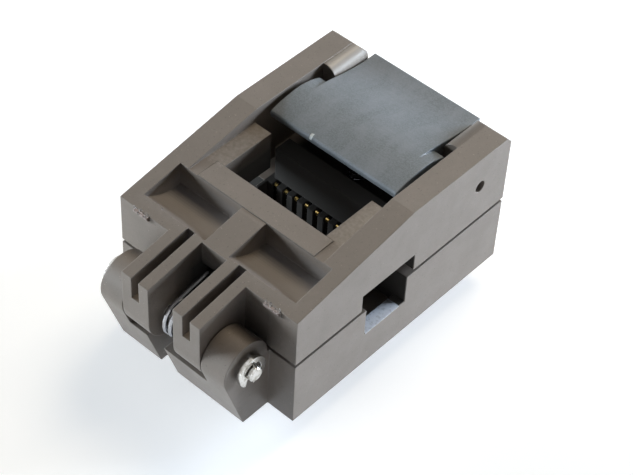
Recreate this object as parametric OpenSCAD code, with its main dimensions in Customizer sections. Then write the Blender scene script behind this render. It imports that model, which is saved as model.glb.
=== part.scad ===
// Clamshell test socket for a 20-lead small-outline package at 1.27 mm pitch.
// Lengths are in millimetres. X runs across the socket, +Y from the hinge to the latch, +Z up.
// The origin is the centre of the tail pattern on the board's surface.

/* [Housing] */
// Width over the base and the lid
body_w = 21; // [20:0.25:24]
// Length of the base, front wall to back wall
base_len = 27.9; // [27:0.1:31]
// Height of the base above the board
base_h = 7.15; // [6.9:0.05:8.5]
// Gap between the base and the closed lid
part_gap = 0.4; // [0.3:0.05:0.7]
// Distance from the front wall to the middle of the package nest
nest_y = 11.8; // [11.5:0.05:12.2]

/* [Lid] */
// Height of the lid's flat top above the base
lid_h = 8.15; // [7.9:0.05:9]
// Length of the lid's sloping front
slope_len = 14.5; // [12:0.1:15.5]
// Fall of the slope from its bend to the front wall
slope_drop = 2.45; // [1.7:0.05:2.8]
// Length of the lid beyond the back of the base
lid_over = 0.05; // [0:0.05:0.4]
// Width of each side arm
arm_w = 2.5; // [2.1:0.05:2.65]
// Half width of the viewing window
window_x = 6; // [5.6:0.05:6.4]
// Half length of the viewing window, from the nest's middle
window_y = 3.43; // [3.25:0.01:3.6]
// Depth of the ledges and the cross-bar below the flat top
ledge_drop = 1.55; // [1.2:0.05:1.7]
// Thickness of the cross-bar between the window and the front scoops
bar_t = 2.5; // [2:0.1:2.8]
// Depth of the front scoops at the cross-bar
scoop_d = 2.45; // [1.8:0.05:2.8]
// Inner edge of each front scoop, from the middle
scoop_in = 1.4; // [1:0.05:1.8]
// Wall beside each front scoop
scoop_wall = 1.5; // [1.1:0.05:2]
// Width of the gate stubs on the lid's front edge
gate_w = 1.7; // [1:0.1:2.4]

/* [Hinge] */
// Radius of the hinge lugs and knuckles
lug_r = 2.6; // [2.2:0.05:2.8]
// Step from the base's side to the outer face of each hinge lug
lug_set = 3; // [2.3:0.05:3.5]
// Distance of the lugs' foot in front of the front wall
lug_foot = 3.1; // [2.5:0.05:3.6]
// Inner face of each knuckle, from the middle
knuckle_in = 1.48; // [1.4:0.01:1.7]
// Width of each knuckle
knuckle_w = 3.15; // [2.6:0.05:3.25]
// Width of the slot in the top of each knuckle
slot_w = 0.9; // [0.6:0.05:1]
// Diameter of the hinge shaft
shaft_d = 1.5; // [1.2:0.05:1.7]
// Thickness of the retaining rings
ring_t = 0.4; // [0.3:0.05:0.5]
// Outer diameter of the retaining rings
ring_d = 3.1; // [2.9:0.1:3.6]
// Gap between each lug and its retaining ring
ring_gap = 0.4; // [0.1:0.05:0.5]
// Wire diameter of the hinge spring
spring_wire = 0.48; // [0.4:0.01:0.55]
// Mean diameter of the hinge spring's coil
spring_d = 3.2; // [2.9:0.05:3.4]
// Pitch of the hinge spring's coil
spring_pitch = 0.7; // [0.62:0.01:0.75]

/* [Latch] */
// Half width of the latch's plate
latch_x = 6.3; // [6:0.05:6.45]
// Gap between the latch's nose and each side arm
nose_gap = 0.55; // [0.3:0.05:0.7]
// Height of the latch's plate below the lid's flat top
plate_drop = 1.15; // [1:0.05:1.3]
// Thickness of the latch's plate
plate_t = 0.9; // [0.7:0.05:1.1]
// Overhang of the plate behind the lid
plate_over = 0.8; // [0.4:0.05:1.5]
// Diameter of the latch pin
pin_d = 1.2; // [1:0.05:1.4]
// Depth of the latch pin's ends below the lid's sides
pin_set = 1.3; // [0.5:0.1:1.6]
// Distance of the latch pin in front of the lid's back
pin_back = 4; // [3.8:0.05:4.2]
// Height of the latch pin above the base
pin_up = 4.6; // [4.4:0.05:4.8]
// Half width of the hook that grips the base
hook_x = 6; // [5:0.1:6.2]
// Thickness of the hook's wall
hook_t = 1.1; // [0.9:0.05:1.3]
// Reach of the hook's barb under the catch
barb = 1; // [0.8:0.05:1.1]
// Wire diameter of the latch spring
latch_wire = 0.35; // [0.25:0.01:0.4]
// Mean diameter of the latch spring
latch_spring_d = 1.9; // [1.7:0.05:2]
// Turns of the latch spring
latch_turns = 5.5; // [3.5:0.5:6.5]

/* [Contacts] */
// Contacts in each row
row_count = 10; // [6:1:10]
// Pitch of the contacts
pitch = 1.27; // [1.2:0.01:1.3]
// Distance of the contact tips from the nest's middle
tip_y = 3.17; // [3.12:0.01:3.22]
// Thickness of the contacts' sheet
sheet_t = 0.35; // [0.25:0.05:0.4]
// Width of the contacts' spring arms
arm_t = 0.4; // [0.3:0.05:0.45]
// Length of the tails below the board's surface
tail_len = 3; // [2:0.1:4]
// Distance of the inner tail rows from the nest's middle
tail_in = 4.4; // [4.3:0.05:4.5]
// Spacing between an inner and an outer tail row
tail_step = 2.54; // [2.3:0.02:2.6]
// Diameter of the locating posts
post_d = 1.5; // [1.2:0.05:1.8]
// Length of the locating posts below the board's surface
post_len = 1.3; // [1:0.05:1.5]

/* [Fits] */
// Radial running clearance on the shaft and the pin
run_clear = 0.04; // [0.02:0.01:0.08]
// Radial clearance of a pin in its fixed holes
seat_clear = 0.02; // [0.01:0.01:0.03]
// Clearance between faces that slide past each other
face_clear = 0.12; // [0.08:0.01:0.2]

/* [Hidden] */
$fn = 48;
eps = 0.01;
housing_colour = [0.53, 0.49, 0.45];
latch_colour = [0.47, 0.49, 0.51];
steel_colour = [0.75, 0.76, 0.78];
gold_colour = [0.85, 0.68, 0.35];

// Levels
lid_bottom = base_h + part_gap;
lid_top = base_h + lid_h;
ledge_z = lid_top - ledge_drop;
lid_len = base_len + lid_over;

// Hinge
hinge_set = lug_r + 0.26;
axis_z = base_h + part_gap / 2;
lug_out = body_w / 2 - lug_set;
knuckle_out = knuckle_in + knuckle_w;
stop_z = axis_z - lug_r - 0.1;
shaft_r = shaft_d / 2;
ring_x = lug_out + ring_gap;
groove_r = shaft_r - 0.2;
shaft_x = ring_x + ring_t + 0.5;
slot_x = knuckle_in + knuckle_w / 2;
gap_end = 0.95;
slot_end = 1.35;
slot_z = axis_z + lug_r - 0.5;
spring_slot = [-2.6, -0.5];
spring_lift = 12;
spring_x = -knuckle_in / 2;
channel_len = 4;
leg_y = channel_len - 0.6;
leg_z = axis_z + spring_d / 2 / cos(spring_lift) + (leg_y + hinge_set) * tan(spring_lift);
channel_z = leg_z + spring_wire / 2 + 0.02;

// Lid
arm_in = body_w / 2 - arm_w;
scoop_out = body_w / 2 - scoop_wall;
window_front = nest_y - window_y;
window_back = nest_y + window_y;
bar_front = window_front - bar_t;
ledge_end = nest_y + 2.5;
ledge_start = slope_len - ledge_drop * slope_len / slope_drop;
scoop_z = top_z(bar_front) - scoop_d;
ramp_back = 4.9;
ramp_front = 1.2;
rim_y = 1.45;
rim_x = 6.7;
gate_x = scoop_out - gate_w - 0.4;
gate_t = 0.3;
back_break = 0.6;
notch_front = nest_y - 3.4;
notch_back = nest_y + 3.5;
notch_top = lid_bottom + 1.95;
pusher_x = window_x + 0.25;
pusher_top = lid_bottom + 3.55;
floor_front = window_back + 1.85;
floor_back = lid_len - 4.3;
floor_z = lid_bottom + 1.25;
rib_drop = 0.2;
ear_in = latch_x + 0.2;
ear_front = lid_len - 4.6;
ear_round = 1.15;
ear_shelf = 1.05;

// Latch
pin_y = lid_len - pin_back;
pin_z = base_h + pin_up;
plate_z = lid_top - plate_drop;
plate_back = lid_len + plate_over;
crest_y = pin_y - 4.5;
crest_z = lid_top - 0.1;
nose_x = arm_in - nose_gap;
nose_front = window_back + 0.45;
wing_back = pin_y - 1.7;
hub_r = 1.75;
under_z = pin_z + 1.5;
nose_tip_z = crest_z - 0.75;
hook_in = base_len - 1.5;
catch_y = hook_in - 0.2;
catch_z = base_h - 1;
catch_slant = 0.18;
hook_low = catch_z - 1.15;
pin_x = body_w / 2 - pin_set;
latch_spring_y = (floor_front + pin_y - hub_r) / 2;

// Nest and contacts
nest_x = row_count * pitch / 2 + 0.25;
nest_z = 4.9;
nest_side = tip_y - arm_t / 2 - 0.12;
slot_in_w = sheet_t + 0.25;
slot_far = tail_in + tail_step + 0.75;
slot_mouth = tip_y + 1.05;
slot_top = 5.2;
plate_h = 0.9;
root_top = plate_h + 1.1;
bend_z = 4.25;
turn_y = tail_in + 1.2;
pocket_in = nest_x + 0.3;
pocket_wall = 1.34;
pocket_front = nest_y - 2.75;
pocket_back = nest_y + 2.7;
sill_z = 3.98;
retainer_x = row_count * pitch / 2 + 0.95;
retainer_y = slot_far + 0.6;
tail_w = 0.45;
post_x = body_w / 2 - 1.4;
post_y = slot_far - 1.2;

CONTACTS = [for (i = [1:row_count]) i];

// Height of the lid's top at a distance y behind the front wall
function top_z(y) = y < slope_len ? lid_top - slope_drop * (1 - y / slope_len) : lid_top;

// X of contact i in a row
function contact_x(i) = (i - (row_count + 1) / 2) * pitch;

// Points of an arc from angle a to angle b
function arc(cy, cz, r, a, b, n) =
    [for (i = [0:n]) let (t = a + (b - a) * i / n) [cy + r * cos(t), cz + r * sin(t)]];

// Moves a piece from the front wall's frame to the part's own frame
module placed() translate([0, -nest_y, 0]) children();

// Extrudes a side profile (y, z) across the socket, from x0 to x1
module across(x0, x1) translate([x0, 0, 0]) rotate([90, 0, 90]) linear_extrude(x1 - x0) children();

// Round bar across the socket, from x0 to x1
module bar(r, x0, x1, y, z) translate([x0, y, z]) rotate([0, 90, 0]) cylinder(r = r, h = x1 - x0);

// Box between two corners
module box(a, b) translate(a) cube(b - a);

// Draws the children on the right and, mirrored, on the left
module both() {
    children();
    mirror([1, 0, 0]) children();
}

// Wire swept along a path whose tangent is never along X
module wire(path, r, sides) {
    n = len(path);
    tangent = [for (i = [0:n - 1]) let (a = path[max(i - 1, 0)], b = path[min(i + 1, n - 1)]) (b - a) / norm(b - a)];
    side = [for (t = tangent) let (s = [1, 0, 0] - t * t[0]) s / norm(s)];
    points = [for (i = [0:n - 1], k = [0:sides - 1])
        let (a = -360 * k / sides) path[i] + r * (side[i] * cos(a) + cross(tangent[i], side[i]) * sin(a))];
    faces = concat(
        [for (i = [0:n - 2], k = [0:sides - 1])
            let (m = (k + 1) % sides)
            [i * sides + k, i * sides + m, (i + 1) * sides + m, (i + 1) * sides + k]],
        [[for (k = [sides - 1:-1:0]) k]],
        [[for (k = [0:sides - 1]) (n - 1) * sides + k]]);
    polyhedron(points, faces);
}

// ---- Base ----

// Side profile of a hinge lug: a barrel whose front falls straight to its foot
module lug_profile() {
    reach = norm([hinge_set - lug_foot, axis_z]);
    lean = atan2(axis_z, lug_foot - hinge_set) + asin(lug_r / reach);
    run = sqrt(reach * reach - lug_r * lug_r);
    translate([-hinge_set, axis_z]) circle(lug_r);
    polygon([[-lug_foot, 0], [eps, 0], [eps, base_h], [-hinge_set, axis_z],
             [-lug_foot + run * cos(lean), run * sin(lean)]]);
}

module contact_slots() {
    for (row = [-1, 1], i = CONTACTS)
        translate([contact_x(i), nest_y, 0]) scale([1, row, 1]) {
            box([-slot_in_w / 2, nest_side - eps, plate_h - eps], [slot_in_w / 2, slot_far, slot_top]);
            box([-slot_in_w / 2, nest_side - eps, slot_top - eps], [slot_in_w / 2, slot_mouth, base_h + 1]);
        }
}

module base_body() color(housing_colour) placed() {
    difference() {
        union() {
            box([-body_w / 2, 0, 0], [body_w / 2, base_len, base_h]);
            across(-lug_out, lug_out) lug_profile();
        }
        // room for the knuckles and the spring between the lugs
        box([-knuckle_out - face_clear, -9, stop_z], [knuckle_out + face_clear, 0, 20]);
        box([spring_slot[0], -9, -1], [spring_slot[1], 0, stop_z + 1]);
        bar(shaft_r + seat_clear, -lug_out - 1, lug_out + 1, -hinge_set, axis_z);
        // package nest and contact slots
        box([-nest_x, nest_y - nest_side, nest_z], [nest_x, nest_y + nest_side, base_h + 1]);
        contact_slots();
        // tweezer pockets at both ends of the nest, open through the side walls
        both() {
            box([pocket_in, pocket_front, sill_z], [body_w / 2 + 1, pocket_back, base_h + 1]);
            box([pocket_in, pocket_front, sill_z - 0.9],
                [body_w / 2 - pocket_wall, pocket_back, base_h + 1]);
            box([nest_x - 1, nest_y - 1.6, nest_z], [pocket_in + 1, nest_y + 1.6, base_h + 1]);
        }
        // seat of the contact retainer
        box([-retainer_x, nest_y - retainer_y, -1], [retainer_x, nest_y + retainer_y, plate_h]);
        // slot for the latch's hook, undercut below the catch
        box([-hook_x - 0.3, catch_y, -1], [hook_x + 0.3, base_len + 1, base_h + 1]);
        across(-hook_x - 0.3, hook_x + 0.3)
            polygon([[catch_y + 1, catch_z + catch_slant], [catch_y - barb - 0.3, catch_z - catch_slant],
                     [catch_y - barb - 0.3, hook_low - 1.4], [catch_y + 1, hook_low - 1.4]]);
    }
    for (end = [-1, 1])
        translate([end * post_x, nest_y + end * post_y, -post_len])
            cylinder(d = post_d, h = post_len + eps);
}

module contact_retainer() color(housing_colour) placed()
    difference() {
        box([-retainer_x + 0.05, nest_y - retainer_y + 0.05, 0],
            [retainer_x - 0.05, nest_y + retainer_y - 0.05, plate_h]);
        for (row = [-1, 1], i = CONTACTS)
            translate([contact_x(i), nest_y + row * tail_y(i), 0])
                cube([sheet_t + 0.1, tail_w + 0.1, 4], center = true);
    }

// ---- Contacts ----

// Neighbouring tails stand in the inner and the outer row by turns
function tail_y(i) = tail_in + (i % 2) * tail_step;

// Quarter or half turn of the spring arm
module bend(cy, cz, r, a, b) {
    polygon(concat(arc(cy, cz, r + arm_t / 2, a, b, 10), arc(cy, cz, r - arm_t / 2, b, a, 10)));
}

module contact_profile(tail) {
    r1 = 0.7;
    r2 = (bend_z - root_top - 0.95) / 2;
    low_z = bend_z - 2 * r2;
    h = arm_t / 2;
    translate([tip_y, base_h - h]) circle(h, $fn = 24);
    translate([tip_y - h, bend_z + r1]) square([arm_t, base_h - h - bend_z - r1]);
    bend(tip_y + r1, bend_z + r1, r1, 180, 270);
    translate([tip_y + r1, bend_z - h]) square([turn_y - tip_y - r1, arm_t]);
    bend(turn_y, bend_z - r2, r2, -90, 90);
    translate([tail_in + 0.3, low_z - h]) square([turn_y - tail_in - 0.3, arm_t]);
    bend(tail_in + 0.3, low_z - 0.5, 0.5, 90, 180);
    translate([tail_in - 0.2 - h, plate_h]) square([arm_t, low_z - 0.5 - plate_h]);
    // root and the fixed arm that grips the slot's far wall
    translate([tail_in - 0.5, plate_h]) square([tail_step + 1, root_top - plate_h]);
    polygon([[tail_in + tail_step - 0.1, root_top - eps], [tail_in + tail_step + 0.5, root_top - eps],
             [tail_in + tail_step + 0.65, bend_z - 0.6], [tail_in + tail_step + 0.4, bend_z + 0.2],
             [tail_in + tail_step + 0.1, bend_z + 0.2]]);
    polygon([[tail - tail_w / 2, plate_h + eps], [tail - tail_w / 2, -tail_len + 0.4], [tail - 0.1, -tail_len],
             [tail + 0.1, -tail_len], [tail + tail_w / 2, -tail_len + 0.4], [tail + tail_w / 2, plate_h + eps]]);
}

module contact(row, i) color(gold_colour) translate([contact_x(i), 0, 0]) scale([1, row, 1])
    across(-sheet_t / 2, sheet_t / 2) contact_profile(tail_y(i));

// ---- Hinge ----

module hinge_shaft() color(steel_colour) placed()
    translate([-shaft_x, -hinge_set, axis_z]) rotate([0, 90, 0])
        rotate_extrude() polygon(concat(
            [[0, 0], [shaft_r - 0.15, 0], [shaft_r, 0.15]],
            [for (end = [0, 1]) each let (z = end == 0 ? shaft_x - ring_x - ring_t - eps : shaft_x + ring_x - eps)
                [[shaft_r, z], [groove_r, z], [groove_r, z + ring_t + 2 * eps], [shaft_r, z + ring_t + 2 * eps]]],
            [[shaft_r, 2 * shaft_x - 0.15], [shaft_r - 0.15, 2 * shaft_x], [0, 2 * shaft_x]]));

// E-shaped ring pushed over the shaft's groove from the front
module ring_profile() {
    mouth = groove_r * 1.7;
    difference() {
        circle(d = ring_d);
        circle(groove_r + seat_clear);
        translate([-mouth / 2, -ring_d]) square([mouth, ring_d]);
        for (side = [-1, 1])
            intersection() {
                circle(ring_d / 2 - 0.55);
                scale([side, 1])
                    polygon([[groove_r * 0.3, groove_r * 0.9], [0.45, ring_d], [ring_d, ring_d * 0.75],
                             [ring_d, -0.35], [groove_r * 0.9, -0.1]]);
            }
    }
}

module retaining_ring(side) color(steel_colour) placed()
    translate([side > 0 ? ring_x : -ring_x - ring_t, -hinge_set, axis_z])
        rotate([90, 0, 90]) linear_extrude(ring_t) rotate(-15) ring_profile();

module hinge_spring() color(steel_colour) placed() {
    r = spring_d / 2;
    step = 18;
    start = 90 + spring_lift;
    turns = 2 + (180 - start) / 360;
    count = round(turns * step);
    coil = [for (i = [0:count]) let (t = turns * i / count, a = start + 360 * t)
        [spring_x + spring_pitch * t, -hinge_set + r * cos(a), axis_z + r * sin(a)]];
    // upper leg, up into the lid's channel
    rest = [spring_x, leg_y, leg_z];
    top_leg = [for (t = [0, 0.3, 0.6, 0.9]) rest + (coil[0] - rest) * t];
    // lower leg, down to the step between the lugs and back along it
    foot_z = stop_z + spring_wire / 2 + 0.02;
    low = coil[count];
    bend_r = 0.9;
    low_leg = concat(
        [low - [0, 0, (low[2] - foot_z - bend_r) / 2]],
        [for (p = arc(low[1] + bend_r, foot_z + bend_r, bend_r, 180, 270, 5)) [low[0], p[0], p[1]]],
        [[low[0], -hinge_set + r / 2, foot_z]]);
    wire(concat(top_leg, coil, low_leg), spring_wire / 2, 10);
}

// ---- Lid ----

module knuckle() across(knuckle_in, knuckle_out)
    union() {
        translate([-hinge_set, axis_z]) circle(lug_r);
        polygon([[-hinge_set - lug_r, axis_z], [-hinge_set, axis_z], [-hinge_set + lug_r * cos(10), lid_bottom],
                 [1, lid_bottom], [1, top_z(1)], [-hinge_set - lug_r, top_z(-hinge_set - lug_r)]]);
    }

// Side profile of a front scoop: flat by the cross-bar, then a sweep up to the slope
module scoop_profile() polygon(concat(
    [[bar_front, lid_top + 1], [bar_front, scoop_z]],
    [for (i = [0:12]) let (t = i / 12)
        [ramp_back + (ramp_front - ramp_back) * t,
         scoop_z + (top_z(ramp_front) - scoop_z + 0.02) * (1 - cos(90 * t))]],
    [[ramp_front, lid_top + 1]]));

// Front scoop; its outer end stops behind a sharper rim
module scoop() difference() {
    across(scoop_in, scoop_out) scoop_profile();
    box([rim_x, 0, lid_bottom], [scoop_out + 1, rim_y, lid_top + 2]);
}

module ear() {
    arc_x = ear_in + ear_round;
    intersection() {
        across(ear_in, arm_in + 1) lid_profile();
        union() {
            bar_y(arc_x, lid_top - ear_round - 0.05, ear_round, ear_front, lid_len);
            box([ear_in, ear_front, lid_bottom], [arm_in + 1, lid_len, lid_top - ear_round - 0.05]);
            box([arc_x - 0.1, ear_front, lid_bottom], [arm_in + 1, lid_len, lid_top - 0.05]);
        }
    }
    box([ear_in, ear_front - ear_shelf, lid_bottom], [arm_in + 1, ear_front + 0.1, pin_z + 1.4]);
}

// Round bar along the socket, from y0 to y1
module bar_y(x, z, r, y0, y1) translate([x, y1, z]) rotate([90, 0, 0]) cylinder(r = r, h = y1 - y0);

// Side profile of the lid, its back edge broken
module lid_profile() polygon([
    [0, lid_bottom], [0, top_z(0)], [slope_len, lid_top], [lid_len - back_break, lid_top],
    [lid_len, lid_top - back_break], [lid_len, lid_bottom]]);

module lid_shell() {
    across(-body_w / 2, body_w / 2) lid_profile();
    both() {
        knuckle();
        // stub left by the mould's gate
        across(gate_x, gate_x + gate_w)
            polygon([[-gate_t, top_z(-gate_t)], [-gate_t, top_z(0) - gate_t], [eps, top_z(0) - 2 * gate_t],
                     [eps, top_z(0)]]);
    }
}

module lid() color(housing_colour) placed() {
    difference() {
        lid_shell();
        // space between the knuckles, and the channel for the spring's leg
        box([-knuckle_in, -9, -1], [knuckle_in, gap_end, 20]);
        box([-knuckle_in, 0, -1], [knuckle_in, channel_len, channel_z]);
        both() {
            box([slot_x - slot_w / 2, -9, slot_z], [slot_x + slot_w / 2, slot_end, 20]);
            scoop();
            // core below the scoop
            box([knuckle_out, 1.3, lid_bottom - 1], [scoop_out, bar_front - 1.2, scoop_z - 1.5]);
            // notch in the side wall, over the tweezer pocket
            box([window_x - 1, notch_front, lid_bottom - 1], [body_w / 2 + 1, notch_back, notch_top]);
        }
        bar(shaft_r + run_clear, -knuckle_out - 1, knuckle_out + 1, -hinge_set, axis_z);
        // cross-bar's top and the ledges beside the window
        box([-arm_in, ledge_start, ledge_z], [arm_in, lid_len + 1, 20]);
        box([-window_x, window_front, -1], [window_x, lid_len + 1, 20]);
        // well of the latch
        box([-arm_in, ledge_end, lid_bottom - 1], [arm_in, lid_len + 1, 20]);
        bar(pin_d / 2 + seat_clear, -body_w, body_w, pin_y, pin_z);
    }
    // floor of the latch's well, with the rear pusher and the spring's peg
    box([-arm_in - 1, floor_front, lid_bottom], [arm_in + 1, floor_back, floor_z]);
    box([-pusher_x, window_back, lid_bottom], [pusher_x, floor_front + eps, pusher_top]);
    for (y = [window_front - 0.75, window_back])
        box([-pusher_x, y, lid_bottom - rib_drop], [pusher_x, y + 0.75, lid_bottom + eps]);
    translate([0, latch_spring_y, floor_z - eps])
        cylinder(d = latch_spring_d - latch_wire - 0.3, h = 0.8);
    both() difference() {
        ear();
        bar(pin_d / 2 + seat_clear, 0, body_w, pin_y, pin_z);
    }
}

// ---- Latch ----

// Side profile of the latch's middle: plate, hub, hook and nose
module latch_profile() {
    rise_y = plate_back - 1;
    rise = [for (i = [0:12]) let (t = i / 12)
        [rise_y + (crest_y - rise_y) * t, plate_z + (crest_z - plate_z) * (1 - cos(180 * t)) / 2]];
    polygon(concat([[plate_back, plate_z - plate_t], [plate_back, plate_z]], rise, nose_end(),
        [[pin_y - hub_r, under_z], [pin_y + hub_r, plate_z - plate_t]]));
    translate([pin_y, pin_z]) circle(hub_r);
    translate([pin_y - hub_r, pin_z]) square([2 * hub_r, plate_z - plate_t / 2 - pin_z]);
}

// Fall of the nose from its crest to its rounded front edge
function nose_end() = concat(
    [for (i = [1:6]) let (t = i / 6)
        [crest_y - (crest_y - nose_front - 0.35) * t, crest_z - 0.45 * t * t]],
    [[nose_front + 0.12, nose_tip_z + 0.22], [nose_front, nose_tip_z], [nose_front + 0.15, nose_tip_z - 0.55],
     [nose_front + 2, under_z]]);

// Side profile of the wings beside the nose, which fall away behind the crest
module wing_profile() polygon(concat(
    [[wing_back, under_z]],
    [for (i = [4:-1:0]) let (t = i / 4) [crest_y + (wing_back - crest_y) * t, crest_z - 0.7 * t * t]],
    nose_end()));

module hook_profile() polygon([
    [hook_in, plate_z - plate_t / 2], [hook_in, catch_z - 0.04], [catch_y - barb + 0.2, catch_z - catch_slant - 0.1],
    [catch_y - barb + 0.2, hook_low + 0.35], [hook_in + 0.3, hook_low - 0.3], [hook_in + hook_t, hook_low - 0.3],
    [hook_in + hook_t, plate_z - plate_t / 2]]);

module latch() color(latch_colour) placed()
    difference() {
        union() {
            across(-latch_x, latch_x) latch_profile();
            across(-nose_x, nose_x) wing_profile();
            across(-hook_x, hook_x) hook_profile();
        }
        bar(pin_d / 2 + run_clear, -body_w, body_w, pin_y, pin_z);
        // seat of the spring under the nose
        translate([0, latch_spring_y, under_z - 1]) cylinder(d = latch_spring_d + latch_wire + 0.3, h = 1.3);
    }

module latch_pin() color(steel_colour) placed() bar(pin_d / 2, -pin_x, pin_x, pin_y, pin_z);

module latch_spring() color(steel_colour) placed()
    translate([0, latch_spring_y, floor_z + 0.02 + latch_wire / 2]) rotate([0, -90, 0]) {
        h = under_z + 0.3 - floor_z - 0.04 - latch_wire;
        step = 16;
        count = latch_turns * step;
        wire([for (i = [0:count]) let (a = 360 * i / step, t = i / count)
            [h * (t < 0.1 ? 5 * t * t : t > 0.9 ? 1 - 5 * (1 - t) * (1 - t) : 0.05 + (t - 0.1) * 0.9 / 0.8),
             latch_spring_d / 2 * cos(a), latch_spring_d / 2 * sin(a)]], latch_wire / 2, 8);
    }

base_body();
contact_retainer();
lid();
latch();
latch_pin();
latch_spring();
hinge_shaft();
hinge_spring();
retaining_ring(-1);  // retaining_ring_left
retaining_ring(1);  // retaining_ring_right
for (i = CONTACTS) {
    contact(-1, i);
    contact(1, i);
}
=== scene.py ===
import math

import bmesh
import bpy
from mathutils import Matrix, Vector


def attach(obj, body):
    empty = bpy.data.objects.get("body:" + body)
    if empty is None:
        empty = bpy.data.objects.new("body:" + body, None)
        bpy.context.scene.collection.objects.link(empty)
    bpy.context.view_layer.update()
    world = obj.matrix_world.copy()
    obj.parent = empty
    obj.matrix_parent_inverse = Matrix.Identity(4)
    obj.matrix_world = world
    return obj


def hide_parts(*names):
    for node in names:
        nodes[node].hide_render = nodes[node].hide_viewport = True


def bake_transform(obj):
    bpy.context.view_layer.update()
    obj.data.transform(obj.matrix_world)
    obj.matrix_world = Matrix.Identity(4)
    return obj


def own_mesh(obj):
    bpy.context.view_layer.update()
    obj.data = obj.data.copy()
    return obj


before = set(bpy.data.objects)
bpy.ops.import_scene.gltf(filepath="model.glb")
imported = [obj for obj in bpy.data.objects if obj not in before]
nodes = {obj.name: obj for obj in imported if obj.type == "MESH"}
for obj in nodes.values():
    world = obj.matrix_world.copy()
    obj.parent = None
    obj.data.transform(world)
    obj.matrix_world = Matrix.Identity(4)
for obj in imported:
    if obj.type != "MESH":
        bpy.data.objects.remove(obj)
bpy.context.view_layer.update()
mm = 0.001
print("frame loaded")


def tone(red, green, blue):  # display colour, 0 to 255, as the linear colour Blender wants
    def linear(value):
        value /= 255
        return value / 12.92 if value <= 0.04045 else ((value + 0.055) / 1.055) ** 2.4
    return (linear(red), linear(green), linear(blue), 1)


def addNode(tree, kind, inputs=None, **settings):
    made = tree.nodes.new(kind)
    # settings first, because they decide which sockets there are
    for name, value in settings.items():
        setattr(made, name, value)
    for name, value in (inputs or {}).items():
        if isinstance(value, bpy.types.NodeSocket):
            tree.links.new(value, made.inputs[name])
        else:
            made.inputs[name].default_value = value
    return made


def addMath(tree, operation, first, second, clamp=False):
    made = addNode(tree, "ShaderNodeMath", {0: first, 1: second}, operation=operation,
                   use_clamp=clamp)
    return made.outputs[0]


def addStrongest(tree, first, *others):
    for other in others:
        first = addMath(tree, "MAXIMUM", first, other)
    return first


def addRange(tree, value, low, high, newLow=0.0, newHigh=1.0):
    made = addNode(tree, "ShaderNodeMapRange", {"Value": value, "From Min": low, "From Max": high,
                                                "To Min": newLow, "To Max": newHigh})
    return made.outputs["Result"]


def addMix(tree, factor, first, second):
    made = addNode(tree, "ShaderNodeMix", {0: factor, 6: first, 7: second}, data_type="RGBA")
    return made.outputs[2]


def addPlace(tree):
    return addNode(tree, "ShaderNodeTexCoord").outputs["Object"]


def addAxes(tree, vector):
    return addNode(tree, "ShaderNodeSeparateXYZ", {"Vector": vector}).outputs


def addStretch(tree, place, scale):
    return addNode(tree, "ShaderNodeMapping", {"Vector": place, "Scale": scale}).outputs[0]


def addNoise(tree, size, detail=2.0, place=None, roughness=0.5, distortion=0.0):
    if place is None:
        place = addPlace(tree)
    made = addNode(tree, "ShaderNodeTexNoise",
                   {"Vector": place, "Scale": 1 / size, "Detail": detail,
                    "Roughness": roughness, "Distortion": distortion})
    return made.outputs["Fac"]


def addSpots(tree, size, detail, low, high, strength=1.0, roughness=0.5):
    noise = addNoise(tree, size, detail, roughness=roughness)
    return addRange(tree, noise, low, high, 0, strength)


def addBump(tree, height, depth, normal=None):
    inputs = {"Height": height, "Distance": depth, "Strength": 1.0}
    if normal is not None:
        inputs["Normal"] = normal
    return addNode(tree, "ShaderNodeBump", inputs).outputs[0]


def newGroup(name, inputs, outputs):
    tree = bpy.data.node_groups.new(name, "ShaderNodeTree")
    for label, value in inputs.items():
        kind = "NodeSocketVector" if isinstance(value, tuple) else "NodeSocketFloat"
        socket = tree.interface.new_socket(label, in_out="INPUT", socket_type=kind)
        socket.default_value = value
    for label, kind in outputs.items():
        tree.interface.new_socket(label, in_out="OUTPUT", socket_type=kind)
    return tree, tree.nodes.new("NodeGroupInput").outputs, tree.nodes.new("NodeGroupOutput").inputs


def fillGroup(tree, group, values):
    return addNode(tree, "ShaderNodeGroup", values, node_tree=group).outputs


edgeForm = {"samples": 8, "flat": 0.985, "sharp": 0.8,
            "patchDetail": 3.0, "patchLow": 0.42, "patchHigh": 0.62}


def makeSoftEdge():  # rounds sharp edges in the shading and finds them for wear
    form = edgeForm
    tree, given, out = newGroup("softEdge", {"Radius": 0.1 * mm, "Patch Size": 2 * mm},
                                {"Normal": "NodeSocketVector", "Edge": "NodeSocketFloat"})
    bevel = addNode(tree, "ShaderNodeBevel", {"Radius": given["Radius"]}, samples=form["samples"])
    true = addNode(tree, "ShaderNodeNewGeometry").outputs["True Normal"]
    dot = addNode(tree, "ShaderNodeVectorMath", {0: bevel.outputs[0], 1: true},
                  operation="DOT_PRODUCT")
    bent = addRange(tree, dot.outputs["Value"], form["flat"], form["sharp"])
    patches = addNode(tree, "ShaderNodeTexNoise",
                      {"Vector": addPlace(tree), "Detail": form["patchDetail"],
                       "Scale": addMath(tree, "DIVIDE", 1.0, given["Patch Size"])})
    broken = addRange(tree, patches.outputs["Fac"], form["patchLow"], form["patchHigh"])
    tree.links.new(bevel.outputs[0], out["Normal"])
    tree.links.new(addMath(tree, "MULTIPLY", bent, broken, clamp=True), out["Edge"])
    return tree


skinForm = {"grainDetail": 3.0, "cloudDetail": 4.0, "cloudRoughness": 0.6,
            "cloudLow": 0.3, "cloudHigh": 0.7}


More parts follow.
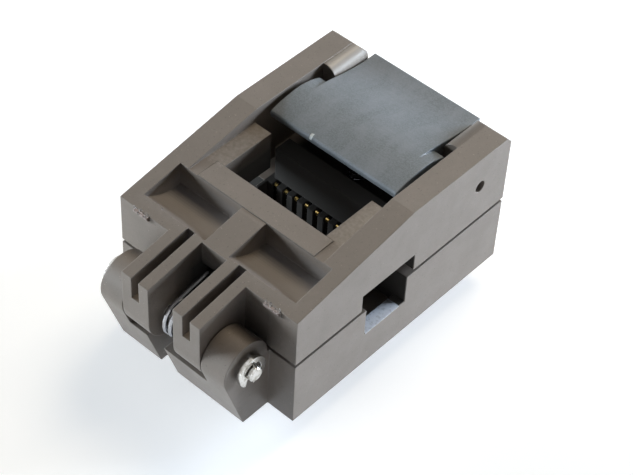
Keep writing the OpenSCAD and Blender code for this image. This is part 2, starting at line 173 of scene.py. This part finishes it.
def makeMouldSkin():  # the fine grain and the slow tone changes of moulded plastic
    form = skinForm
    tree, given, out = newGroup("mouldSkin", {"Grain Size": 0.08 * mm, "Cloud Size": 4 * mm},
                                {"Grain": "NodeSocketFloat", "Cloud": "NodeSocketFloat"})
    place = addPlace(tree)
    fine = addNode(tree, "ShaderNodeTexNoise",
                   {"Vector": place, "Detail": form["grainDetail"],
                    "Scale": addMath(tree, "DIVIDE", 1.0, given["Grain Size"])})
    slow = addNode(tree, "ShaderNodeTexNoise",
                   {"Vector": place, "Detail": form["cloudDetail"],
                    "Roughness": form["cloudRoughness"],
                    "Scale": addMath(tree, "DIVIDE", 1.0, given["Cloud Size"])})
    tree.links.new(fine.outputs["Fac"], out["Grain"])
    clouds = addRange(tree, slow.outputs["Fac"], form["cloudLow"], form["cloudHigh"])
    tree.links.new(clouds, out["Cloud"])
    return tree


ragForm = {"size": 0.35 * mm, "detail": 3.0, "middle": 0.5}


def makeMarkBox():  # a ragged patch at one place on a piece, or at that place on both sides of it
    tree, given, out = newGroup("markBox", {"Centre": (0.0, 0.0, 0.0),
                                            "Half Size": (1 * mm, 1 * mm, 1 * mm),
                                            "Fade": 0.2 * mm, "Ragged": 0.2 * mm,
                                            "Both Sides": 1.0},
                                {"Mask": "NodeSocketFloat"})
    place = addPlace(tree)
    parts = addAxes(tree, place)
    folded = addMath(tree, "MULTIPLY", addMath(tree, "ABSOLUTE", parts["X"], 0.0),
                     given["Both Sides"])
    oneSided = addMath(tree, "SUBTRACT", 1.0, given["Both Sides"])
    across = addMath(tree, "ADD", folded, addMath(tree, "MULTIPLY", parts["X"], oneSided))
    centre, half = addAxes(tree, given["Centre"]), addAxes(tree, given["Half Size"])
    rag = addNoise(tree, ragForm["size"], ragForm["detail"], place)
    rag = addMath(tree, "MULTIPLY", addMath(tree, "SUBTRACT", rag, ragForm["middle"]),
                  given["Ragged"])
    mask = 1.0
    for value, axis in ((across, "X"), (parts["Y"], "Y"), (parts["Z"], "Z")):
        away = addMath(tree, "ABSOLUTE", addMath(tree, "SUBTRACT", value, centre[axis]), 0.0)
        inside = addMath(tree, "ADD", addMath(tree, "SUBTRACT", half[axis], away), rag)
        faded = addMath(tree, "DIVIDE", inside, given["Fade"], clamp=True)
        mask = addMath(tree, "MULTIPLY", mask, faded)
    tree.links.new(mask, out["Mask"])
    return tree


def markAt(centre, half, fade, ragged=0.0, bothSides=1.0):  # lengths in mm
    return {"Centre": tuple(value * mm for value in centre),
            "Half Size": tuple(value * mm for value in half),
            "Fade": fade * mm, "Ragged": ragged * mm, "Both Sides": bothSides}


softEdge, mouldSkin, markBox = makeSoftEdge(), makeMouldSkin(), makeMarkBox()
print("shared effects made")


def newMaterial(name, fixed):
    material = bpy.data.materials.new(name)
    material.use_nodes = True
    tree = material.node_tree
    shader = tree.nodes["Principled BSDF"]
    for label, value in fixed.items():
        shader.inputs[label].default_value = value
    return material, tree, shader.inputs


housingLook = {
    "fixed": {"IOR": 1.5},
    "tones": {
        "base": tone(128, 119, 112),
        "cloud": tone(119, 111, 104),
        # worn edges, and the painted highlight on the left ear and the ledges
        "rubbed": tone(158, 151, 144),
        # dark specks and gate scars, and the painted shadow line around the foot of the cross-bar
        # panel
        "speckAndShade": tone(88, 82, 76),
        "stub": tone(160, 143, 138),
        # painted sheen on the scoop floors
        "paintedSheen": tone(162, 158, 158),
        "dust": tone(168, 160, 150),
        # painted shade: the near-black tone laid into the recesses, where shade falls
        "inside": tone(17, 15, 13),
        # painted highlight: the pale tone on the side notch sills
        "bright": tone(230, 235, 246),
    },
    "edge": {"Radius": 0.1 * mm, "Patch Size": 1.6 * mm},
    "skin": {"Grain Size": 0.07 * mm, "Cloud Size": 3.5 * mm},
    "grainDepth": 0.0035 * mm,
    "scarDepth": 0.06 * mm,
    "rough": (0.4, 0.5),
    "wornShine": 0.14,
    "paintedShadeRough": 0.95,
    "mottle": {"size": 0.45 * mm, "detail": 3.0, "low": 0.35, "high": 0.65, "strength": 0.35},
    "specks": {"size": 0.16 * mm, "detail": 1.0, "low": 0.68, "high": 0.75, "strength": 0.55},
    "dust": {"size": 0.21 * mm, "detail": 2.0, "low": 0.68, "high": 0.74, "strength": 0.65,
             "roughness": 0.7},
    "broken": {"size": 0.28 * mm, "detail": 4.0, "low": 0.5, "high": 0.62, "roughness": 0.7},
    "marks": {
        # painted highlight on the sill of each side notch
        "sill": markAt((9.85, -0.3, 4.0), (0.72, 2.3, 0.1), 0.08, 0.12),
        # nest, pocket, notch, well, window, rib and gap paint shade into the recesses; well and
        # window only above the height that above sets, gap faded by gapFade
        "nest": markAt((0.0, 0.0, 4.1), (6.95, 4.3, 3.2), 0.12),
        "pocket": markAt((8.62, 0.0, 5.1), (1.8, 2.8, 2.03), 0.03),
        "notch": markAt((8.2, 0.05, 8.51), (2.22, 3.6, 0.94), 0.03),
        "well": markAt((0.0, 4.2, 9.0), (8.05, 7.7, 4.5), 1.8),
        "window": markAt((0.0, 1.0, 9.0), (6.4, 4.5, 4.9), 1.6),
        "above": markAt((0.0, 0.0, 27.57), (20, 30, 20), 0.02),
        "rib": markAt((0.0, 3.43, 7.45), (6.3, 0.12, 0.2), 0.03),
        "gap": markAt((0.0, -12.2, 9.0), (1.56, 2.4, 4.5), 0.06),
        "gapFade": markAt((0.0, -10.3, 8.0), (4.0, 4.0, 5.0), 2.4),
        # painted shadow on the lid's front wall beside the right knuckle, on that side only
        "corner": markAt((6.2, -12.2, 9.8), (2.9, 2.3, 3.3), 1.9, 0.4, bothSides=0.0),
        # painted sheen on both scoop floors
        "scoop": markAt((5.6, -8.3, 11.6), (4.2, 3.0, 1.6), 1.0, 0.3),
        # painted shade on the right ear, on that side only
        "shade": markAt((7.2, 13.4, 14.2), (0.9, 3.2, 1.6), 0.35, 0.2, bothSides=0.0),
        # painted shadow line around the foot of the cross-bar panel
        "panel": markAt((0.0, -4.68, 13.75), (6.97, 1.3, 0.04), 0.01),
        "stub": markAt((7.75, -12.1, 12.7), (1.0, 0.32, 0.6), 0.12, 0.25),
        "gate": markAt((7.8, -12.0, 12.6), (1.1, 0.45, 0.5), 0.15, 0.6),
        # painted highlight on the left ear, on that side only
        "ear": markAt((-7.2, 13.7, 15.0), (0.85, 2.2, 1.0), 0.3, 0.4, bothSides=0.0),
        # painted highlight on both ledges
        "ledge": markAt((7.0, -0.4, 13.75), (1.1, 3.6, 0.3), 0.5, 1.0),
    },
    # corner, shade and panel paint shade, ear and ledge paint highlights, scoop paints sheen, stub
    # is the gate stub's own tone
    "amounts": {"corner": 0.6, "shade": 0.4, "ear": 0.85, "ledge": 0.6, "scoop": 0.75,
                "stub": 0.7, "panel": 0.9},
    "edgeAmount": 0.33,
    "paintedShadeAmount": 0.97,
}


def makeHousingPlastic():
    look, tones = housingLook, housingLook["tones"]
    material, tree, shader = newMaterial("housingPlastic", look["fixed"])

    def part(mask, amount):
        return addMath(tree, "MULTIPLY", mask, amount)

    edge = fillGroup(tree, softEdge, look["edge"])
    skin = fillGroup(tree, mouldSkin, look["skin"])
    mark = {name: fillGroup(tree, markBox, box)["Mask"] for name, box in look["marks"].items()}
    for name, amount in look["amounts"].items():
        mark[name] = part(mark[name], amount)
    # painted shade: the recess, gap, corner and right ear marks together, laid on with the inside
    # tone and made matt
    deep = part(addStrongest(tree, mark["well"], mark["window"]), mark["above"])
    paintedShade = addStrongest(tree, deep, part(mark["gap"], mark["gapFade"]), mark["corner"],
                          mark["shade"], mark["nest"], mark["pocket"], mark["notch"], mark["rib"])
    # real edge wear, plus painted highlights on the left ear and the ledges, which are also made
    # less rough
    wornAndSheen = addStrongest(tree, part(edge["Edge"], look["edgeAmount"]), mark["ear"], mark["ledge"])
    scar = part(mark["gate"], addSpots(tree, **look["broken"]))
    colour = addMix(tree, skin["Cloud"], tones["base"], tones["cloud"])
    # painted in this order, each over the ones before it
    layers = ((addSpots(tree, **look["mottle"]), "cloud"),
              (addSpots(tree, **look["specks"]), "speckAndShade"),
              (addSpots(tree, **look["dust"]), "dust"),
              # the rubbed layer paints the ear and ledge highlights as well as the edge wear
              (wornAndSheen, "rubbed"), (mark["scoop"], "paintedSheen"),
              # painted shade in the recesses
              (part(paintedShade, look["paintedShadeAmount"]), "inside"),
              # the sill layer is a painted highlight
              (mark["sill"], "bright"), (mark["stub"], "stub"),
              # the panel layer paints the shadow line at the panel's foot
              (scar, "speckAndShade"), (mark["panel"], "speckAndShade"))
    for mask, name in layers:
        colour = addMix(tree, mask, colour, tones[name])
    tree.links.new(colour, shader["Base Color"])
    rough = addRange(tree, skin["Cloud"], 0, 1, *look["rough"])
    rough = addMath(tree, "SUBTRACT", rough, part(wornAndSheen, look["wornShine"]))
    rough = addStrongest(tree, rough, part(paintedShade, look["paintedShadeRough"]))
    tree.links.new(rough, shader["Roughness"])
    scarred = addBump(tree, scar, look["scarDepth"], edge["Normal"])
    grained = addBump(tree, skin["Grain"], look["grainDepth"], scarred)
    tree.links.new(grained, shader["Normal"])
    return material


latchLook = {
    "fixed": {"IOR": 1.5},
    "tones": {
        "base": tone(110, 117, 122),
        "dark": tone(98, 106, 110),
        "pale": tone(130, 135, 142),
        "rubbed": tone(150, 157, 161),
        "chip": tone(205, 208, 208),
    },
    "edge": {"Radius": 0.16 * mm, "Patch Size": 1.2 * mm},
    "skin": {"Grain Size": 0.1 * mm, "Cloud Size": 2.6 * mm},
    "smear": {"size": 1.7 * mm, "detail": 4.0, "roughness": 0.6, "distortion": 0.5},
    "smearScale": (1.0, 0.4, 1.0),
    "smearRange": (0.42, 0.68, 0, 0.6),
    "fine": {"size": 0.15 * mm, "detail": 3.0, "roughness": 0.7},
    "fineRange": (0.4, 0.64, 0, 0.65),
    "rough": (0.3, 0.7, 0.36, 0.5),
    "edgeAmount": 0.25,
    "grainDepth": 0.005 * mm,
    "nick": markAt((-2.6, 4.0, 14.55), (0.16, 0.34, 0.3), 0.06, 0.25, bothSides=0.0),
    "nickDepth": -0.05 * mm,
}


def makeLatchPlastic():
    look, tones = latchLook, latchLook["tones"]
    material, tree, shader = newMaterial("latchPlastic", look["fixed"])
    edge = fillGroup(tree, softEdge, look["edge"])
    skin = fillGroup(tree, mouldSkin, look["skin"])
    nick = fillGroup(tree, markBox, look["nick"])["Mask"]
    place = addPlace(tree)
    drawn = addStretch(tree, place, look["smearScale"])
    smear = addNoise(tree, place=drawn, **look["smear"])
    fine = addNoise(tree, place=place, **look["fine"])
    colour = addMix(tree, skin["Cloud"], tones["base"], tones["dark"])
    # painted in this order, each over the ones before it
    layers = ((addRange(tree, smear, *look["smearRange"]), "pale"),
              (addRange(tree, fine, *look["fineRange"]), "pale"),
              (addMath(tree, "MULTIPLY", edge["Edge"], look["edgeAmount"]), "rubbed"),
              (nick, "chip"))
    for mask, name in layers:
        colour = addMix(tree, mask, colour, tones[name])
    tree.links.new(colour, shader["Base Color"])
    tree.links.new(addRange(tree, smear, *look["rough"]), shader["Roughness"])
    dent = addBump(tree, nick, look["nickDepth"], edge["Normal"])
    tree.links.new(addBump(tree, skin["Grain"], look["grainDepth"], dent), shader["Normal"])
    return material


nickelLook = {
    "fixed": {"Metallic": 1.0},
    "bright": tone(216, 216, 214),
    "hazy": tone(168, 165, 158),
    "edge": {"Radius": 0.06 * mm, "Patch Size": 0.8 * mm},
    "haze": {"size": 0.5 * mm, "detail": 4.0},
    "hazeRange": (0.4, 0.7),
    "rough": (0.3, 0.7, 0.1, 0.24),
    "grainSize": 0.05 * mm,
    "grainDepth": 0.001 * mm,
}


def makeNickel():
    look = nickelLook
    material, tree, shader = newMaterial("nickelPlate", look["fixed"])
    edge = fillGroup(tree, softEdge, look["edge"])
    haze = addNoise(tree, **look["haze"])
    hazy = addRange(tree, haze, *look["hazeRange"])
    tree.links.new(addMix(tree, hazy, look["bright"], look["hazy"]), shader["Base Color"])
    tree.links.new(addRange(tree, haze, *look["rough"]), shader["Roughness"])
    grain = addNoise(tree, look["grainSize"])
    tree.links.new(addBump(tree, grain, look["grainDepth"], edge["Normal"]), shader["Normal"])
    return material


wireLook = {
    "fixed": {"Metallic": 1.0},
    "bright": tone(192, 194, 198),
    "dark": tone(130, 132, 137),
    "lineScale": (1.0, 0.2, 0.2),
    "lines": {"size": 0.06 * mm, "detail": 3.0},
    "rough": (0.3, 0.7, 0.1, 0.2),
    "lineDepth": 0.001 * mm,
}


def makeSpringWire():
    look = wireLook
    material, tree, shader = newMaterial("springWire", look["fixed"])
    drawn = addStretch(tree, addPlace(tree), look["lineScale"])
    lines = addNoise(tree, place=drawn, **look["lines"])
    tree.links.new(addMix(tree, lines, look["bright"], look["dark"]), shader["Base Color"])
    tree.links.new(addRange(tree, lines, *look["rough"]), shader["Roughness"])
    tree.links.new(addBump(tree, lines, look["lineDepth"]), shader["Normal"])
    return material


goldLook = {
    "fixed": {"Metallic": 1.0},
    "gold": tone(236, 214, 148),
    "cloud": tone(214, 180, 104),
    # painted shade on the contact stems below the tips
    "paintedStemShade": tone(62, 54, 40),
    "tin": tone(190, 190, 186),
    "edge": {"Radius": 0.03 * mm, "Patch Size": 0.6 * mm},
    "blur": {"size": 0.3 * mm, "detail": 3.0},
    "cloudRange": (0.35, 0.7),
    "stemShadeBand": (6.95 * mm, 6.8 * mm),
    "tinRange": (0.1 * mm, -0.2 * mm),
    "tinRagged": 0.5 * mm,
    "rough": (0.3, 0.7, 0.14, 0.3),
    "blurDepth": 0.002 * mm,
}


def makeGoldPlate():  # bright at the rubbed tips, painted shade on the stems below them, tinned below the base
    look = goldLook
    material, tree, shader = newMaterial("goldPlate", look["fixed"])
    edge = fillGroup(tree, softEdge, look["edge"])
    height = addAxes(tree, addPlace(tree))["Z"]
    blur = addNoise(tree, **look["blur"])
    ragged = addMath(tree, "MULTIPLY", blur, look["tinRagged"])
    dipped = addRange(tree, addMath(tree, "ADD", height, ragged), *look["tinRange"])
    clouded = addRange(tree, blur, *look["cloudRange"])
    colour = addMix(tree, clouded, look["gold"], look["cloud"])
    # painted shade: everything below the tips darker
    colour = addMix(tree, addRange(tree, height, *look["stemShadeBand"]), colour, look["paintedStemShade"])
    tree.links.new(addMix(tree, dipped, colour, look["tin"]), shader["Base Color"])
    tree.links.new(addRange(tree, blur, *look["rough"]), shader["Roughness"])
    tree.links.new(addBump(tree, blur, look["blurDepth"], edge["Normal"]), shader["Normal"])
    return material


housingPlastic, latchPlastic = makeHousingPlastic(), makeLatchPlastic()
nickelPlate, springWire, goldPlate = makeNickel(), makeSpringWire(), makeGoldPlate()
finishes = {
    "base_body": housingPlastic, "contact_retainer": housingPlastic, "lid": housingPlastic,
    "latch": latchPlastic, "hinge_shaft": nickelPlate, "latch_pin": springWire,
    "retaining_ring_left": nickelPlate, "retaining_ring_right": nickelPlate,
    "hinge_spring": springWire, "latch_spring": springWire,
}
for name, node in nodes.items():
    node.data.materials.clear()
    node.data.materials.append(finishes.get(name, goldPlate))
print("materials placed")


def addObject(name, data):
    made = bpy.data.objects.new(name, data)
    bpy.context.scene.collection.objects.link(made)
    return made


def closeMesh(built, name):
    mesh = bpy.data.meshes.new(name)
    built.to_mesh(mesh)
    built.free()
    return mesh


panelLook = {"halfWidth": 6.87 * mm, "front": -5.9 * mm, "back": -3.46 * mm,
             "low": 13.745 * mm, "high": 13.83 * mm, "edge": 0.03 * mm, "edgeSegments": 2}


def makePanel():  # the bare raised panel on the lid's cross-bar
    look = panelLook
    built = bmesh.new()
    size = (2 * look["halfWidth"], look["back"] - look["front"], look["high"] - look["low"])
    middle = (0, (look["back"] + look["front"]) / 2, (look["high"] + look["low"]) / 2)
    shape = Matrix.Translation(middle) @ Matrix.Diagonal((*size, 1))
    bmesh.ops.create_cube(built, size=1, matrix=shape)
    upper = [edge for edge in built.edges if all(v.co.z > middle[2] for v in edge.verts)]
    bmesh.ops.bevel(built, geom=upper, offset=look["edge"], segments=look["edgeSegments"],
                    profile=0.5, affect="EDGES", material=-1)
    mesh = closeMesh(built, "crossBarPanel")
    panel = addObject("crossBarPanel", mesh)
    mesh.materials.append(housingPlastic)
    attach(panel, "lid_body")


makePanel()
print("panel placed")


def copyCoil(name, piece):
    solid = nodes[name]
    mesh = solid.data.copy()
    mesh.transform(solid.matrix_world)
    coil = addObject(piece, mesh)
    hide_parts(name)
    return coil


def makeSprings():  # the hinge spring stays in place, and the latch spring rides with the lid
    hingeCoil = copyCoil("hinge_spring", "hingeCoil")
    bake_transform(hingeCoil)
    latchCoil = copyCoil("latch_spring", "latchCoil")
    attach(latchCoil, "lid_body")
    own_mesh(latchCoil)


makeSprings()
print("springs placed")


stageLook = {
    "floorZ": -3.0 * mm, "floorSize": 1.2, "floorTone": (0.94, 0.945, 0.965, 1),
    "lift": 0.38, "near": 45 * mm, "far": 150 * mm,
    "white": (1, 1, 1, 1), "ambientTone": (0.93, 0.96, 1, 1), "ambient": 0.01,
}


def addSeen(tree):  # 1 for rays from the camera and for those that shiny or clear faces pass on
    path = addNode(tree, "ShaderNodeLightPath").outputs
    passed = addStrongest(tree, path["Is Glossy Ray"], path["Is Transmission Ray"])
    return addStrongest(tree, path["Is Camera Ray"], passed)


def makeFloor():
    look = stageLook
    built = bmesh.new()
    bmesh.ops.create_grid(built, x_segments=1, y_segments=1, size=look["floorSize"],
                          matrix=Matrix.Translation((0, 0, look["floorZ"])))
    mesh = closeMesh(built, "floor")
    floor = addObject("floor", mesh)
    material = bpy.data.materials.new("paleFloor")
    material.use_nodes = True
    tree = material.node_tree
    tree.nodes.clear()
    matt = addNode(tree, "ShaderNodeBsdfDiffuse", {"Color": look["floorTone"]})
    away = addNode(tree, "ShaderNodeVectorMath", {0: addPlace(tree)}, operation="LENGTH")
    lift = addRange(tree, away.outputs["Value"], look["near"], look["far"], look["lift"], 1.0)
    glow = addNode(tree, "ShaderNodeEmission",
                   {"Color": look["white"],
                    "Strength": addMath(tree, "MULTIPLY", addSeen(tree), lift)})
    both = addNode(tree, "ShaderNodeAddShader", {0: matt.outputs[0], 1: glow.outputs[0]})
    addNode(tree, "ShaderNodeOutputMaterial", {0: both.outputs[0]})
    mesh.materials.append(material)


def makeWorld():
    world = bpy.data.worlds.new("paleRoom")
    world.use_nodes = True
    tree = world.node_tree
    tree.nodes.clear()
    ambient = addNode(tree, "ShaderNodeBackground", {"Color": stageLook["ambientTone"],
                                                     "Strength": stageLook["ambient"]})
    white = addNode(tree, "ShaderNodeBackground", {"Color": stageLook["white"], "Strength": 1.0})
    mixed = addNode(tree, "ShaderNodeMixShader",
                    {0: addSeen(tree), 1: ambient.outputs[0], 2: white.outputs[0]})
    addNode(tree, "ShaderNodeOutputWorld", {0: mixed.outputs[0]})
    bpy.context.scene.world = world


lampLook = {  # turn is from +X towards +Y, rise is above the board, both in degrees
    "key": {"turn": 60, "rise": 6, "power": 3.62, "tint": (0.77, 0.88, 1)},
    "low": {"turn": -155, "rise": 6, "power": 3.08, "tint": (0.843, 0.938, 1)},
    "behind": {"turn": 90, "rise": 60, "power": 0.48, "tint": (1, 0.85, 0.63)},
}
lampFit = {"distance": 0.36, "size": 0.16, "aim": (0, 0, 8 * mm)}


def makeLamps():
    for name, look in lampLook.items():
        lamp = bpy.data.lights.new(name, "AREA")
        lamp.size, lamp.energy, lamp.color = lampFit["size"], look["power"], look["tint"]
        turn, rise = math.radians(look["turn"]), math.radians(look["rise"])
        level = math.cos(rise)
        away = Vector((math.cos(turn) * level, math.sin(turn) * level, math.sin(rise)))
        holder = addObject(name, lamp)
        holder.location = Vector(lampFit["aim"]) + away * lampFit["distance"]
        holder.rotation_euler = (-away).to_track_quat("-Z", "Y").to_euler()


cameraLook = {
    "place": (76.385 * mm, -88.42 * mm, 129.524 * mm),
    "right": (0.73735, 0.67434, 0.03983),
    "forward": (-0.44337, 0.52759, -0.72462),
    "lens": 107.07, "sensor": 36,
    "nearest": 5 * mm, "farthest": 10,
}


def makeCamera():
    lens = bpy.data.cameras.new("view")
    lens.lens, lens.sensor_width = cameraLook["lens"], cameraLook["sensor"]
    lens.clip_start, lens.clip_end = cameraLook["nearest"], cameraLook["farthest"]
    camera = addObject("view", lens)
    back = -Vector(cameraLook["forward"]).normalized()
    right = Vector(cameraLook["right"])
    right = (right - back * right.dot(back)).normalized()
    turn = Matrix((right, back.cross(right), back)).transposed().to_4x4()
    camera.matrix_world = Matrix.Translation(cameraLook["place"]) @ turn
    bpy.context.scene.camera = camera


makeFloor()
makeWorld()
makeLamps()
makeCamera()
bpy.context.scene.view_settings.view_transform = "Standard"
print("stage ready")
